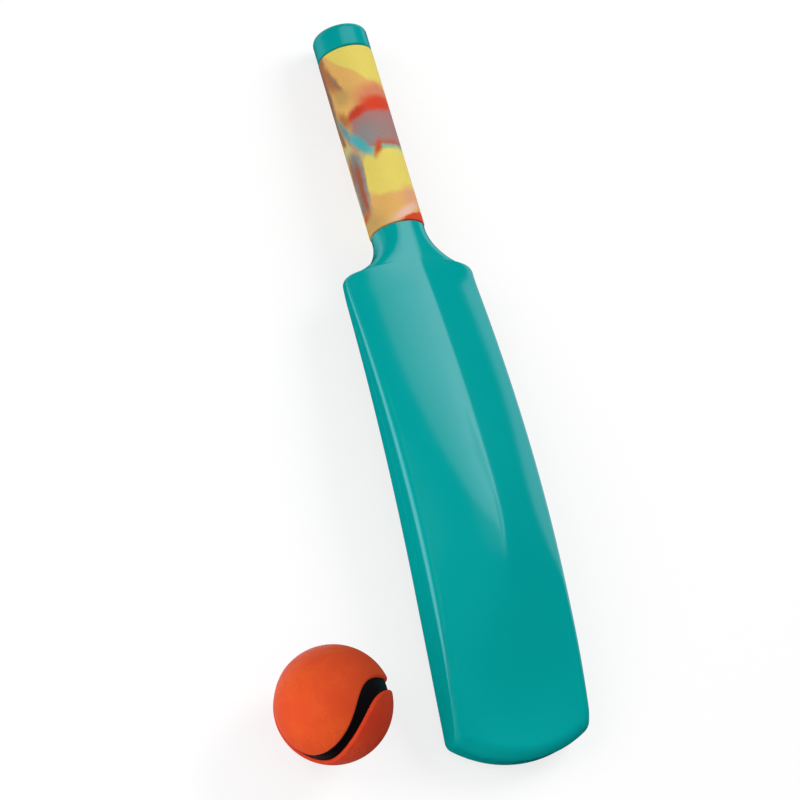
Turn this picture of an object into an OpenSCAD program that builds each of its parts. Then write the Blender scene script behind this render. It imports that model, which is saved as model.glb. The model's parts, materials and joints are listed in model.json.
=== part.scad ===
// Play bat with a hollow bowed blade, a marbled grip sleeve and an end cap, lying face down
// beside a ball made of two moulded covers on a dark core. Millimetres, +Z up, handle towards +Y.

/* [Blade] */
// Width across the shoulders
shoulder_w = 75; // [70:0.5:80]
// Width across the toe's corners
toe_w = 77.5; // [74:0.5:84]
// Shoulder line to the toe's corners, along the hitting face
blade_l = 255; // [240:1:275]
// Rise of the toe's curved end beyond its corners
toe_bulge = 12.5; // [9:0.5:16]
// Corner radius at the shoulders
shoulder_r = 4.5; // [3:0.5:7]
// Corner radius at the toe
toe_corner_r = 6; // [4:0.5:9]
// Edge thickness at the shoulders
edge_shoulder = 8.5; // [7.5:0.5:11]
// Edge thickness at the swell, where the edges are thickest
edge_swell = 23.5; // [20:0.5:27]
// Edge thickness at the toe's corners
edge_toe = 18; // [15:0.5:22]
// Distance of the edges' thickest place from the shoulder line
edge_swell_s = 196; // [180:1:215]
// Rounding of the blade's edges
edge_r = 2.5; // [1.5:0.1:3.5]
// Softer rounding of the back's edge along the toe
toe_edge_r = 7; // [4:0.1:7.5]
// Radius of the bow, which brings the toe forward
bow_radius = 976; // [850:10:1300]
// Length of the bowed stretch; the rest of the blade is straight
bow_l = 174; // [150:1:200]

/* [Spine] */
// Spine height over the hitting face at the shoulder line
spine_shoulder = 24; // [22:0.5:27]
// Spine height at its highest place
spine_peak = 41; // [36:0.5:46]
// Distance of that place from the shoulder line
spine_peak_s = 150; // [135:1:165]
// Spine height left at the toe
spine_toe = 19.5; // [19:0.5:24]
// Crest radius of the crisp upper spine
crest_r = 2; // [1:0.5:5]
// Crest radius at the toe, where the spine has faded out
crest_toe_r = 30; // [15:1:45]
// Crown of the flanks: the share of their fall that is gathered towards the edges
flank_crown = 0.3; // [0:0.05:0.5]

/* [Neck and handle] */
// Sleeve end to the shoulder line
neck_l = 23; // [20:0.5:28]
// Radius of the round neck
neck_r = 14.5; // [13.5:0.1:14.8]
// Radius of the hollow curve from the neck into the shoulders
flare_r = 14; // [10:0.5:15]
// How far the neck's outline turns outwards, degrees
flare_turn = 70; // [60:1:80]
// Straight length of the neck below the sleeve
neck_straight = 4.5; // [2:0.5:7]
// Height of the handle's axis over the hitting face at the shoulder line
handle_rise = 9; // [8:0.1:11]
// Radius of the moulded handle under the sleeve
spigot_r = 12; // [11:0.1:12.5]
// Wall of the moulded halves
wall = 2.35; // [2:0.05:2.5]

/* [Grip sleeve and end cap] */
// Outside radius of the grip sleeve
grip_r = 15; // [14.9:0.05:15.5]
// Length of the grip sleeve
grip_l = 108.5; // [90:0.5:125]
// Rounding of the sleeve's end edges
grip_edge_r = 0.6; // [0.3:0.1:1]
// Outside radius of the end cap
cap_r = 14.9; // [14.5:0.05:14.9]
// Height of the cap over the sleeve
cap_h = 15; // [11:0.5:18]
// Rounding of the cap's outer edge
cap_edge_r = 3.8; // [2:0.1:5]
// Radius of the crown on the cap's end
cap_crown_r = 90; // [60:5:200]
// Rounding of the cap's lip on the sleeve
cap_lip_r = 0.6; // [0.3:0.1:1]
// Length of the cap's plug inside the handle
plug_l = 24; // [16:1:32]
// Height of each sealing bead on the plug
plug_bead_h = 1.6; // [1.2:0.1:2.4]
// How far each bead stands out of the plug
plug_bead = 0.3; // [0.2:0.05:0.5]

/* [Float core] */
// Gap between the foam block and the moulded halves
core_gap = 0.5; // [0.4:0.1:1]

/* [Ball] */
// Diameter over the covers
ball_d = 60; // [56:0.5:66]
// Depth of the groove down to the core
groove_depth = 1.9; // [1.8:0.1:2.5]
// Width of the groove on its long runs between the two covers
groove_w = 5.5; // [4.5:0.1:7]
// Width of the groove round the tips of the covers' lobes
groove_tip_w = 9.4; // [7:0.1:11]
// How far the groove swings to each side of the ball's equator, degrees
groove_swing = 29.5; // [18:0.5:32]
// Rounding of the covers' outer edges
cover_edge_r = 1.5; // [1:0.1:1.6]
// Ball centre left of the blade's middle line
ball_left = 106.6; // [80:0.2:140]
// Ball centre from the shoulder line towards the toe
ball_down = 232.6; // [150:0.2:260]
// Turn of the ball about X, Y and Z, degrees
ball_turn = [-153, -37.5, -101]; // [-180:0.5:180]

/* [Hidden] */
$fn = 96;

teal = [0.004, 0.59, 0.575];
foam = [0.93, 0.93, 0.9];
sand_yellow = [0.88, 0.81, 0.4];
orange = [0.85, 0.35, 0.16];
black = [0.04, 0.03, 0.03];

// The sleeve butts on the neck, and the cap on the sleeve, each with this gap
butt_gap = 0.15;
// Clearance of the sleeve and the plug on the moulded handle, whose round is faceted
round_gap = 0.1;
// Clearance of the ball's covers on its round core, since their inside is faceted
cover_gap = 0.25;
handle_end = neck_l + grip_l + 2 * butt_gap;
bow_angle = bow_l / bow_radius * 180 / PI;
toe_s = blade_l + toe_bulge;
shoulder_half = shoulder_w / 2;
toe_half = toe_w / 2;
// The neck's section turns into the blade's between these stations
blend_from = -neck_l;
blend_to = 14;
// The spine's climb eases off late, by this power, and its fall ends just past the toe's corners
climb_power = 10;
fall_end = blade_l + 3;
// The spine's crest softens between these stations
crest_from = 150;
crest_to = toe_s - 18;
// Least rounding inside the moulded edges
inner_edge_r = 0.6;
// Places of the plug's sealing beads, as shares of its length
bead_places = [0.3, 0.7];
// Steps of the crown's large circle
crown_steps = 360;

function mix(a, b, k) = a * (1 - k) + b * k;
function clamp01(k) = min(max(k, 0), 1);
function ease(from, to, x) =
    let (k = clamp01((x - from) / (to - from)))
    k * k * (3 - 2 * k);

// Blade laws along the face: s is the distance from the shoulder line, towards the toe
function edge_thickness(s) =
    edge_shoulder
    + (edge_swell - edge_shoulder) * sin(90 * clamp01(s / edge_swell_s))
    - (edge_swell - edge_toe) * pow(max(s - edge_swell_s, 0) / (blade_l - edge_swell_s), 2);
// The spine climbs in a straight line that eases off at its peak, and falls to the toe on a cosine
function spine_height(s) =
    let (up = clamp01(s / spine_peak_s))
    let (down = clamp01((s - spine_peak_s) / (fall_end - spine_peak_s)))
    let (climb = (up - pow(up, climb_power) / climb_power) / (1 - 1 / climb_power))
    mix(spine_shoulder, spine_peak, climb) - (spine_peak - spine_toe) * (1 - cos(180 * down)) / 2;
function crest_radius(s) = mix(crest_r, crest_toe_r, ease(crest_from, crest_to, s));
function bladeness(s) = ease(blend_from, blend_to, s);
// Height of the line where the two halves meet, over the face
function seam_height(s) = mix(handle_rise, edge_thickness(s) / 2, bladeness(s));

// Point at height v over the face at station s: the face runs straight, on the bow's arc, straight again
function on_face(x, s, v) =
    let (turn = clamp01(s / bow_l) * bow_angle)
    let (past = max(s - bow_l, 0))
    [x,
     -min(s, 0) - bow_radius * sin(turn) - past * cos(turn) - v * sin(turn),
     -handle_rise - bow_radius * (1 - cos(turn)) - past * sin(turn) + v * cos(turn)];

// Rounded edge: how far the surface drops at distance d in from the outline
function edge_drop(d, r) = r - sqrt(r * r - pow(r - min(d, r), 2));
// Rounding at an outline station: the back's edge softens round the toe's corners
function edge_rounding(s, side) =
    side > 0 ? mix(edge_r, toe_edge_r, ease(toe_corner_s - toe_corner_r, toe_corner_s + toe_corner_r, s))
             : edge_r;

// Plan outline of the right half. Each entry is [x, s, inward normal x, inward normal s, middle station,
// round radius]; the middle station is where the section meets the spine, undef for straight across.
flare_line = (shoulder_half - neck_r - (flare_r + shoulder_r) * (1 - cos(flare_turn))) / sin(flare_turn);
flare_s = -neck_l + neck_straight;
corner_s = flare_s + (flare_r + shoulder_r) * sin(flare_turn) + flare_line * cos(flare_turn);
toe_arc_r = (toe_half * toe_half + toe_bulge * toe_bulge) / (2 * toe_bulge);
toe_arc_s = toe_s - toe_arc_r;
toe_corner_x = toe_half - toe_corner_r;
toe_corner_s = toe_arc_s + sqrt(pow(toe_arc_r - toe_corner_r, 2) - pow(toe_corner_x, 2));
toe_corner_turn = atan2(toe_corner_s - toe_arc_s, toe_corner_x);
// Near the toe the sections lean in towards one place on the middle line
lean_s = 205;
lean_rate = 0.6;
lean_end = toe_s - 27;
function lean(s) = lean_s + (s - lean_s) * lean_rate;

function handle_outline() = [
    [spigot_r, -handle_end, -1, 0, undef, spigot_r],
    [spigot_r, -neck_l, -1, 1, undef, spigot_r],
    [neck_r, -neck_l, -1, 1, undef, neck_r]
];
function flare_outline(n) = [
    for (i = [0 : n])
        let (a = flare_turn * i / n)
        [neck_r + flare_r * (1 - cos(a)), flare_s + flare_r * sin(a), -cos(a), sin(a), undef, neck_r]
];
function shoulder_outline(n) = [
    for (i = [0 : n - 1])
        let (a = flare_turn * (1 - i / n))
        [shoulder_half - shoulder_r * (1 - cos(a)), corner_s - shoulder_r * sin(a),
         -cos(a), sin(a), undef, neck_r]
];
function side_outline(n) = [
    for (i = [0 : n - 1])
        let (s = mix(corner_s, toe_corner_s, i / n))
        [mix(shoulder_half, toe_half, i / n), s, -1, 0, s > lean_s ? lean(s) : undef, neck_r]
];
// Round a corner and along the end's arc, up to half a step short of the middle line
function toe_outline(n_corner, n_arc) = [
    for (i = [0 : n_corner + n_arc - 1])
        let (on_corner = i < n_corner)
        let (a = on_corner ? toe_corner_turn * i / n_corner
                           : mix(toe_corner_turn, 90, (i - n_corner) / (n_arc - 0.5)))
        let (middle = mix(lean(toe_corner_s), lean_end, i / (n_corner + n_arc - 1)))
        on_corner
            ? [toe_corner_x + toe_corner_r * cos(a), toe_corner_s + toe_corner_r * sin(a),
               -cos(a), -sin(a), middle, neck_r]
            : [toe_arc_r * cos(a), toe_arc_s + toe_arc_r * sin(a), -cos(a), -sin(a), middle, neck_r]
];

// Point of a section, row steps of the way from the edge (0) over to the spine (rows), inset into the wall.
// side is 1 for the back half and -1 for the face half; mirror is 1 on the right and -1 on the left.
function section_point(p, side, mirror, inset, row, rows) =
    let (edge = [p[0] + inset * p[2], p[1] + inset * p[3]])
    let (middle = is_undef(p[4]) ? edge[1] : p[4])
    let (angle = 90 * row / rows)
    let (k = 1 - cos(angle))
    let (x = edge[0] * (1 - k))
    let (s = mix(edge[1], middle, k))
    let (d = k * (-edge[0] * p[2] + (middle - edge[1]) * p[3]))
    let (t = edge_thickness(s))
    let (c = crest_radius(s))
    let (half = mix(shoulder_half, toe_half, clamp01(s / blade_l)))
    let (fall = (sqrt(x * x + c * c) - c) / (sqrt(half * half + c * c) - c))
    let (flank = side > 0 ? (spine_height(s) - t) * max(1 - mix(fall, fall * fall, flank_crown), 0) : 0)
    let (blade = t / 2 + flank - inset - edge_drop(d, max(edge_rounding(p[1], side) - inset, inner_edge_r)))
    let (round = (p[5] - inset) * sin(angle))
    let (height = row == 0 ? 0 : mix(round, blade, bladeness(s)))
    on_face(mirror * x, s, seam_height(s) + side * height);

// One section from the right edge over the spine to the left edge
function section(p, side, inset, rows) = concat(
    [for (row = [0 : rows]) section_point(p, side, 1, inset, row, rows)],
    [for (row = [rows - 1 : -1 : 0]) section_point(p, side, -1, inset, row, rows)]
);

function tri(flip, a, b, c) = flip ? [a, c, b] : [a, b, c];
function quad(flip, a, b, c, d) = [tri(flip, a, b, c), tri(flip, a, c, d)];

// Skin over a row of sections, w points each, starting at point number first, closed across the toe's tip
function skin_faces(first, n, w, flip) =
    let (last = first + (n - 1) * w)
    let (rows = (w - 1) / 2)
    concat(
        [for (i = [0 : n - 2], j = [0 : w - 2])
            let (a = first + i * w + j)
            each quad(flip, a, a + w, a + w + 1, a + 1)],
        [for (j = [0 : rows - 2])
            each quad(flip, last + j, last + w - 1 - j, last + w - 2 - j, last + j + 1)],
        [tri(flip, last + rows - 1, last + rows + 1, last + rows)]
    );

// Moulded half: an outer skin, an inner skin one wall further in, and the rim that joins them
module moulded_half(side) {
    rows = 10;
    w = 2 * rows + 1;
    outline = concat(handle_outline(), flare_outline(6), shoulder_outline(4), side_outline(15),
                     toe_outline(4, 5));
    n = len(outline);
    inner = n * w;
    flip = side < 0;
    points = concat(
        [for (p = outline) each section(p, side, 0, rows)],
        [for (p = outline) each section(p, side, wall, rows)]
    );
    right_rim = [for (i = [0 : n - 2])
        each quad(!flip, i * w, (i + 1) * w, inner + (i + 1) * w, inner + i * w)];
    left_rim = [for (i = [0 : n - 2])
        let (a = i * w + w - 1)
        each quad(flip, a, a + w, inner + a + w, inner + a)];
    toe_rim = let (a = (n - 1) * w)
        quad(!flip, a, a + w - 1, inner + a + w - 1, inner + a);
    open_end = [for (j = [0 : w - 2]) each quad(flip, j, j + 1, inner + j + 1, inner + j)];
    polyhedron(points, concat(skin_faces(0, n, w, flip), skin_faces(inner, n, w, !flip),
                              right_rim, left_rim, toe_rim, open_end));
}

// Ball covers: the groove's middle line swings about the equator, a cover's edge half a groove to each side
core_r = ball_d / 2 - groove_depth;
cover_r = ball_d / 2;
function half_groove(t) = mix(groove_w, groove_tip_w, pow(sin(2 * t), 2)) / 2 / cover_r * 180 / PI;
function wave(t) = groove_swing * sin(2 * t);
function wave_slope(t) = 2 * groove_swing * PI / 180 * cos(2 * t) / cos(wave(t));
function direction(lon, lat) = [cos(lat) * cos(lon), cos(lat) * sin(lon), sin(lat)];
// Direction of a cover's edge, square off the middle line, to the north for cover b and the south for cover a
function cover_edge(t, north) =
    let (east = [-sin(t), cos(t), 0])
    let (up = [-sin(wave(t)) * cos(t), -sin(wave(t)) * sin(t), cos(wave(t))])
    let (m = wave_slope(t))
    let (across = (up - m * east) / sqrt(1 + m * m))
    let (off = (north ? 1 : -1) * half_groove(t))
    direction(t, wave(t)) * cos(off) + across * sin(off);

// Rows crowd towards the rounded edge by this power
edge_crowding = 1.6;
// Column of a cover on one meridian: up the inner face from the pole, over the edge, back to the pole
function cover_column(t, north, rows) =
    let (e = cover_edge(t, north))
    let (lon = atan2(e[1], e[0]))
    let (lat = asin(e[2]))
    let (pole = north ? 90 : -90)
    let (lean_in = 1 / sqrt(1 + pow(wave_slope(t), 2)))
    concat(
        [for (i = [1 : rows]) direction(lon, mix(pole, lat, i / rows)) * (core_r + cover_gap)],
        [for (i = [0 : rows - 1])
            let (here = mix(pole, lat, 1 - pow(i / rows, edge_crowding)))
            let (d = abs(lat - here) * PI / 180 * cover_r * lean_in)
            direction(lon, here) * (cover_r - edge_drop(d, cover_edge_r))]
    );

module cover(north) {
    rows = 10;
    columns = 60;
    w = 2 * rows;
    pole = north ? 1 : -1;
    points = concat(
        [for (c = [0 : columns - 1]) each cover_column(360 * c / columns, north, rows)],
        [[0, 0, pole * (core_r + cover_gap)], [0, 0, pole * cover_r]]
    );
    inner_pole = columns * w;
    outer_pole = inner_pole + 1;
    faces = [for (c = [0 : columns - 1])
        let (a = c * w)
        let (b = ((c + 1) % columns) * w)
        each concat(
            [for (j = [0 : w - 2]) each quad(!north, a + j, b + j, b + j + 1, a + j + 1)],
            [tri(!north, inner_pole, b, a), tri(!north, a + w - 1, b + w - 1, outer_pole)]
        )];
    polyhedron(points, faces);
}

// The bat leans on the cap's rounded edge and on the toe's: one line under both circles is the floor
toe_foot = on_face(0, toe_s - edge_r, edge_r);
cap_foot = [0, handle_end + cap_h - cap_edge_r, -(cap_r - cap_edge_r)];
foot_span = cap_foot - toe_foot;
foot_lean = atan2(foot_span[2], foot_span[1]) - asin((cap_edge_r - edge_r) / norm(foot_span));
function tipped(p) = [p[0], p[1] * cos(foot_lean) + p[2] * sin(foot_lean),
                      p[2] * cos(foot_lean) - p[1] * sin(foot_lean)];
bat_lift = edge_r - tipped(toe_foot)[2];
// The origin is under the middle of the set's box
cap_back = [0, cap_foot[1], -cap_foot[2]];
toe_back = on_face(0, toe_s - toe_edge_r, edge_thickness(toe_s) - toe_edge_r);
y_high = max(tipped(cap_foot)[1], tipped(cap_back)[1]) + cap_edge_r;
y_low = min(tipped(toe_foot)[1] - edge_r, tipped(toe_back)[1] - toe_edge_r);
set_shift = [(ball_left + cover_r - toe_half) / 2, -(y_high + y_low) / 2, 0];

module as_lying() {
    translate(set_shift + [0, 0, bat_lift]) rotate([-foot_lean, 0, 0]) children();
}
module at_ball() {
    translate(set_shift + [-ball_left, -ball_down, cover_r]) rotate(ball_turn) children();
}
// Revolves a profile drawn with x as radius and y along the handle's axis
module turned() {
    rotate([-90, 0, 0]) rotate_extrude() children();
}
// Rectangle between two corners, rounded
module rounded_profile(low, high, r) {
    translate([low[0] + r, low[1]]) square([high[0] - low[0] - 2 * r, high[1] - low[1]]);
    translate([low[0], low[1] + r]) square([high[0] - low[0], high[1] - low[1] - 2 * r]);
    for (x = [low[0] + r, high[0] - r], y = [low[1] + r, high[1] - r])
        translate([x, y]) circle(r);
}

// Hitting-face half of the hollow bat, with its half of the handle
module face_shell() {
    color(teal) as_lying() moulded_half(-1);
}

// Spined back half of the hollow bat, with its half of the handle
module back_shell() {
    color(teal) as_lying() moulded_half(1);
}

// Closed-cell foam block that fills the blade, so that it floats and stays stiff
module float_core() {
    rows = 6;
    w = 2 * rows + 1;
    inset = wall + core_gap;
    outline = concat([for (p = side_outline(10)) if (p[1] > blend_to) p], toe_outline(2, 3));
    n = len(outline);
    // The face side's rows are the same loops, without the two seam points they share with the back
    back = [for (p = outline) each section(p, 1, inset, rows)];
    face = [for (p = outline) each section(p, -1, inset, rows)];
    function id(i, j, side) = side > 0 || j == 0 || j == w - 1 ? i * w + j : n * w + i * (w - 2) + j - 1;
    points = concat(back, [for (i = [0 : n - 1], j = [1 : w - 2]) face[i * w + j]]);
    function wrap(side) =
        let (last = n - 1)
        concat(
            [for (i = [0 : n - 2], j = [0 : w - 2])
                each quad(side < 0, id(i, j, side), id(i + 1, j, side),
                          id(i + 1, j + 1, side), id(i, j + 1, side))],
            [for (j = [0 : rows - 2])
                each quad(side < 0, id(last, j, side), id(last, w - 1 - j, side),
                          id(last, w - 2 - j, side), id(last, j + 1, side))],
            [tri(side < 0, id(last, rows - 1, side), id(last, rows + 1, side), id(last, rows, side))]
        );
    end = concat(
        [tri(false, id(0, 0, 1), id(0, 1, 1), id(0, 1, -1))],
        [for (j = [1 : w - 3])
            each quad(false, id(0, j, 1), id(0, j + 1, 1), id(0, j + 1, -1), id(0, j, -1))],
        [tri(false, id(0, w - 2, 1), id(0, w - 1, 1), id(0, w - 2, -1))]
    );
    color(foam) as_lying() polyhedron(points, concat(wrap(1), wrap(-1), end));
}

// Soft sleeve that slides over the moulded handle and holds its halves together
module grip_sleeve() {
    color(sand_yellow) as_lying() turned()
        rounded_profile([spigot_r + round_gap, neck_l + butt_gap],
                        [grip_r, neck_l + butt_gap + grip_l], grip_edge_r);
}

// Cap that closes the handle: a crowned knob on a hollow plug with two sealing beads
module end_cap() {
    plug_r = spigot_r - wall - 2 * round_gap;
    top = handle_end + cap_h;
    color(teal) as_lying() turned() difference() {
        union() {
            intersection() {
                rounded_profile([-cap_r, top - 2 * cap_r], [cap_r, top], cap_edge_r);
                translate([0, handle_end + cap_lip_r]) square([cap_r, cap_h]);
                translate([0, top - cap_crown_r]) circle(cap_crown_r, $fn = crown_steps);
            }
            intersection() {
                rounded_profile([-cap_r, handle_end], [cap_r, top - cap_edge_r], cap_lip_r);
                translate([0, handle_end]) square([cap_r, 2 * cap_lip_r]);
            }
            translate([0, handle_end - plug_l]) square([plug_r - plug_bead, plug_l + cap_lip_r]);
            for (share = bead_places)
                translate([0, handle_end - plug_l * share]) square([plug_r, plug_bead_h]);
        }
        translate([0, handle_end - plug_l]) square([plug_r - plug_bead - wall, plug_l + cap_h / 2]);
    }
}

// Dark springy core that shows in the groove
module ball_core() {
    color(black) at_ball() sphere(core_r);
}

// Cover on the south side of the groove
module ball_cover_a() {
    color(orange) at_ball() cover(false);
}

// Cover on the north side of the groove, whose lobes fill the other's hollows
module ball_cover_b() {
    color(orange) at_ball() cover(true);
}

face_shell();
back_shell();
float_core();
grip_sleeve();
end_cap();
ball_core();
ball_cover_a();
ball_cover_b();
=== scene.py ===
import json
import math

import bpy
import numpy as np
from mathutils import Euler, Matrix, Vector

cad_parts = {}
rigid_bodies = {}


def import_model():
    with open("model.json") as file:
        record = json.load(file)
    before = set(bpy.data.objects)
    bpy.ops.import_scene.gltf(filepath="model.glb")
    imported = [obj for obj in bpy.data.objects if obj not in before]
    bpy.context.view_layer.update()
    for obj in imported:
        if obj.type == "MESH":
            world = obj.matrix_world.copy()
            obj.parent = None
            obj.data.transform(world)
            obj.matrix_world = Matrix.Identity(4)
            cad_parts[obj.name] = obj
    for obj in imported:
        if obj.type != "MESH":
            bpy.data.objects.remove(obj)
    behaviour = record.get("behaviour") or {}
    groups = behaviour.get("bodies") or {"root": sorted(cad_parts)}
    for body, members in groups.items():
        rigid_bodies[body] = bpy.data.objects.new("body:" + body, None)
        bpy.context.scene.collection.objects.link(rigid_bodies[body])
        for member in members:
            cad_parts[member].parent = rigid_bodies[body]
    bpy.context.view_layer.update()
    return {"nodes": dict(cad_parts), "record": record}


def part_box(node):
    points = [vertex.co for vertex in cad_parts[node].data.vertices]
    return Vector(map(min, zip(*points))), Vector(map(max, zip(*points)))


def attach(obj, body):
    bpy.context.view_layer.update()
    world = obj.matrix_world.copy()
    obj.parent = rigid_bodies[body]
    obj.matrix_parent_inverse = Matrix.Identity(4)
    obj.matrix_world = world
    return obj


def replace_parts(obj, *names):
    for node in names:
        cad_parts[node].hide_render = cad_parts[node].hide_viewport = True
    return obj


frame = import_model()
mm = 0.001
print("frame loaded with", len(frame["nodes"]), "solids")


# Small sums that every piece uses

def mixOf(a, b, k):  # a at k = 0 and b at k = 1
    return a * (1 - k) + b * k


def easeOf(low, high, x):  # 0 up to low, 1 from high on, a cubic ease between
    k = np.clip((x - low) / (high - low), 0, 1)
    return k * k * (3 - 2 * k)


def edgeDrop(d, r):
    # how far a rounded edge of radius r lies below the flat, at distance d in from the side
    return r - np.sqrt(r * r - (r - np.minimum(d, r)) ** 2)


def arcOf(centre, radius, start, end, steps):  # points of a circle from one angle to another, degrees
    a = np.radians(np.linspace(start, end, steps + 1))
    return np.column_stack([centre[0] + radius * np.cos(a), centre[1] + radius * np.sin(a)])


def srgb(red, green, blue):  # a screen colour, 0 to 255, as the shader's linear one
    c = np.array([red, green, blue]) / 255
    return (*np.where(c > 0.04045, ((c + 0.055) / 1.055) ** 2.4, c / 12.92), 1.0)


# Meshes

def sheetQuads(ids):  # quads between the neighbours in a grid of point numbers
    return np.stack([ids[:-1, :-1], ids[1:, :-1], ids[1:, 1:], ids[:-1, 1:]], -1).reshape(-1, 4)


def addPiece(name, points, faces, finish, body, sharp=35):
    # faces is a list of arrays of quads or triangles; points that no face uses are dropped
    sizes = np.concatenate([np.full(len(f), f.shape[1]) for f in faces])
    used, corners = np.unique(np.concatenate([f.ravel() for f in faces]), return_inverse=True)
    mesh = bpy.data.meshes.new(name)
    mesh.vertices.add(len(used))
    mesh.vertices.foreach_set("co", points[used].astype(np.float32).ravel())
    mesh.loops.add(len(corners))
    mesh.loops.foreach_set("vertex_index", corners.astype(np.int32).ravel())
    mesh.polygons.add(len(sizes))
    mesh.polygons.foreach_set("loop_start", np.concatenate([[0], np.cumsum(sizes)[:-1]]).astype(np.int32))
    mesh.update(calc_edges=True)
    mesh.shade_smooth()
    mesh.set_sharp_from_angle(angle=math.radians(sharp))
    mesh.materials.append(finish)
    piece = bpy.data.objects.new(name, mesh)
    bpy.context.scene.collection.objects.link(piece)
    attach(piece, body)
    print(name, len(used), "points,", len(sizes), "faces")
    return piece


# Materials: a socket with arithmetic, and one way to add any node

class Wire:
    def __init__(self, tree, socket=None):
        self.tree = tree
        self.socket = socket

    def node(self, kind, settings=None, inputs=None, output=0):
        made = self.tree.nodes.new(kind)
        for key, value in (settings or {}).items():
            setattr(made, key, value)
        for key, value in (inputs or {}).items():
            if isinstance(value, Wire):
                self.tree.links.new(value.socket, made.inputs[key])
            else:
                made.inputs[key].default_value = value
        return Wire(self.tree, made.outputs[output] if made.outputs else None)

    def maths(self, operation, *values):
        return self.node("ShaderNodeMath", {"operation": operation}, dict(enumerate(values)))

    def __add__(self, other):
        return self.maths("ADD", self, other)

    def __sub__(self, other):
        return self.maths("SUBTRACT", self, other)

    def __rsub__(self, other):
        return self.maths("SUBTRACT", other, self)

    def __mul__(self, other):
        return self.maths("MULTIPLY", self, other)

    __radd__ = __add__
    __rmul__ = __mul__


def newFinish(name):
    finish = bpy.data.materials.new(name)
    finish.use_nodes = True
    finish.node_tree.nodes.clear()
    return finish, Wire(finish.node_tree)


def noiseOf(wire, where, scale, detail=2.0, output="Fac"):
    return wire.node("ShaderNodeTexNoise", {}, {"Vector": where, "Scale": scale, "Detail": detail}, output)


def stepOf(wire, value, low, high, toLow=0.0, toHigh=1.0):  # smooth step from low to high
    return wire.node("ShaderNodeMapRange", {"interpolation_type": "SMOOTHSTEP"},
                     {"Value": value, "From Min": low, "From Max": high, "To Min": toLow, "To Max": toHigh})


def blendOf(wire, share, low, high):  # colour low where share is 0, high where it is 1
    return wire.node("ShaderNodeMix", {"data_type": "RGBA"}, {"Factor": share, 6: low, 7: high}, 2)


def bumpOf(wire, height, depth):  # height 0 to 1 over a depth in metres
    return wire.node("ShaderNodeBump", {}, {"Height": height, "Distance": depth, "Strength": 1.0}, "Normal")


def closeFinish(wire, **sockets):  # socket names are given with _ for a space
    named = {key.replace("_", " "): value for key, value in sockets.items()}
    surface = wire.node("ShaderNodeBsdfPrincipled", {}, named)
    wire.node("ShaderNodeOutputMaterial", {}, {"Surface": surface})


plastic = {
    "teal": srgb(0, 159, 157), "deepTeal": srgb(0, 153, 152),
    "gloss": 0.08, "dullGloss": 0.12, "specular": 0.55,
    "grain": 1400.0, "grainDepth": 0.000012,   # moulded skin
    "cloud": 28.0,                             # slow change of gloss
}
# the cap is a little darker and shines less
capPlastic = plastic | {"teal": srgb(0, 155, 154), "deepTeal": srgb(0, 150, 149),
                        "gloss": 0.1, "dullGloss": 0.14, "specular": 0.22}


def tealPlastic(name, look):
    # shade and gloss wander slowly over the moulding, over a very fine grain
    finish, wire = newFinish(name)
    where = wire.node("ShaderNodeTexCoord", output="Object")
    cloud = noiseOf(wire, where, look["cloud"], detail=3.0)
    grain = noiseOf(wire, where, look["grain"])
    closeFinish(
        wire,
        Base_Color=blendOf(wire, cloud, look["deepTeal"], look["teal"]),
        Roughness=mixOf(look["gloss"], look["dullGloss"], cloud),
        Specular_IOR_Level=look["specular"],
        Normal=bumpOf(wire, grain, look["grainDepth"]),
    )
    return finish


cover = {
    "orange": srgb(208, 78, 32), "redOrange": srgb(202, 69, 31),
    "gloss": 0.5, "dullGloss": 0.65, "specular": 0.08,
    "grain": 1100.0, "grainDepth": 0.00005,
    "cloud": 60.0, "cloudFrom": 0.3, "cloudTo": 0.7,
    "crease": 120.0, "creaseDepth": 0.00022, "creaseWidth": 0.05,   # faint folds in the skin
}
# painted shade: the other cover is redder and a little darker, the colour of the ball's shaded side
shadeRedCover = cover | {"orange": srgb(205, 64, 30), "redOrange": srgb(199, 57, 30)}


def orangeRubber(name, look):
    # matt skin with a pebbled grain and faint clouds of a redder shade; where a cloud is thick, creases run
    # along the middle value of another noise
    finish, wire = newFinish(name)
    where = wire.node("ShaderNodeTexCoord", output="Object")
    slow = noiseOf(wire, where, look["cloud"], detail=4.0)
    cloud = stepOf(wire, slow, look["cloudFrom"], look["cloudTo"])
    grain = noiseOf(wire, where, look["grain"], detail=3.0)
    fold = wire.maths("ABSOLUTE", noiseOf(wire, where, look["crease"], detail=1.0) - 0.5)
    crease = stepOf(wire, fold, 0.0, look["creaseWidth"]) * cloud + (1 - cloud)
    height = grain * (look["grainDepth"] / look["creaseDepth"]) + crease
    closeFinish(
        wire,
        Base_Color=blendOf(wire, cloud, look["redOrange"], look["orange"]),
        Roughness=mixOf(look["gloss"], look["dullGloss"], grain),
        Specular_IOR_Level=look["specular"],
        Normal=bumpOf(wire, height, look["creaseDepth"]),
    )
    return finish


core = {
    "black": srgb(7, 5, 6), "grey": srgb(14, 11, 13),
    "gloss": 0.45, "dullGloss": 0.65, "specular": 0.1,
    "grain": 900.0, "grainDepth": 0.00006,
}


def blackRubber():
    # a fine grain that goes from near black to dark grey
    finish, wire = newFinish("blackRubber")
    where = wire.node("ShaderNodeTexCoord", output="Object")
    grain = noiseOf(wire, where, core["grain"], detail=3.0)
    closeFinish(
        wire,
        Base_Color=blendOf(wire, grain, core["black"], core["grey"]),
        Roughness=mixOf(core["gloss"], core["dullGloss"], grain),
        Specular_IOR_Level=core["specular"],
        Normal=bumpOf(wire, grain, core["grainDepth"]),
    )
    return finish


foam = {"pale": srgb(240, 240, 232), "shade": srgb(205, 204, 196), "cells": 700.0, "cellDepth": 0.0003,
        "rough": 0.85}


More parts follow.
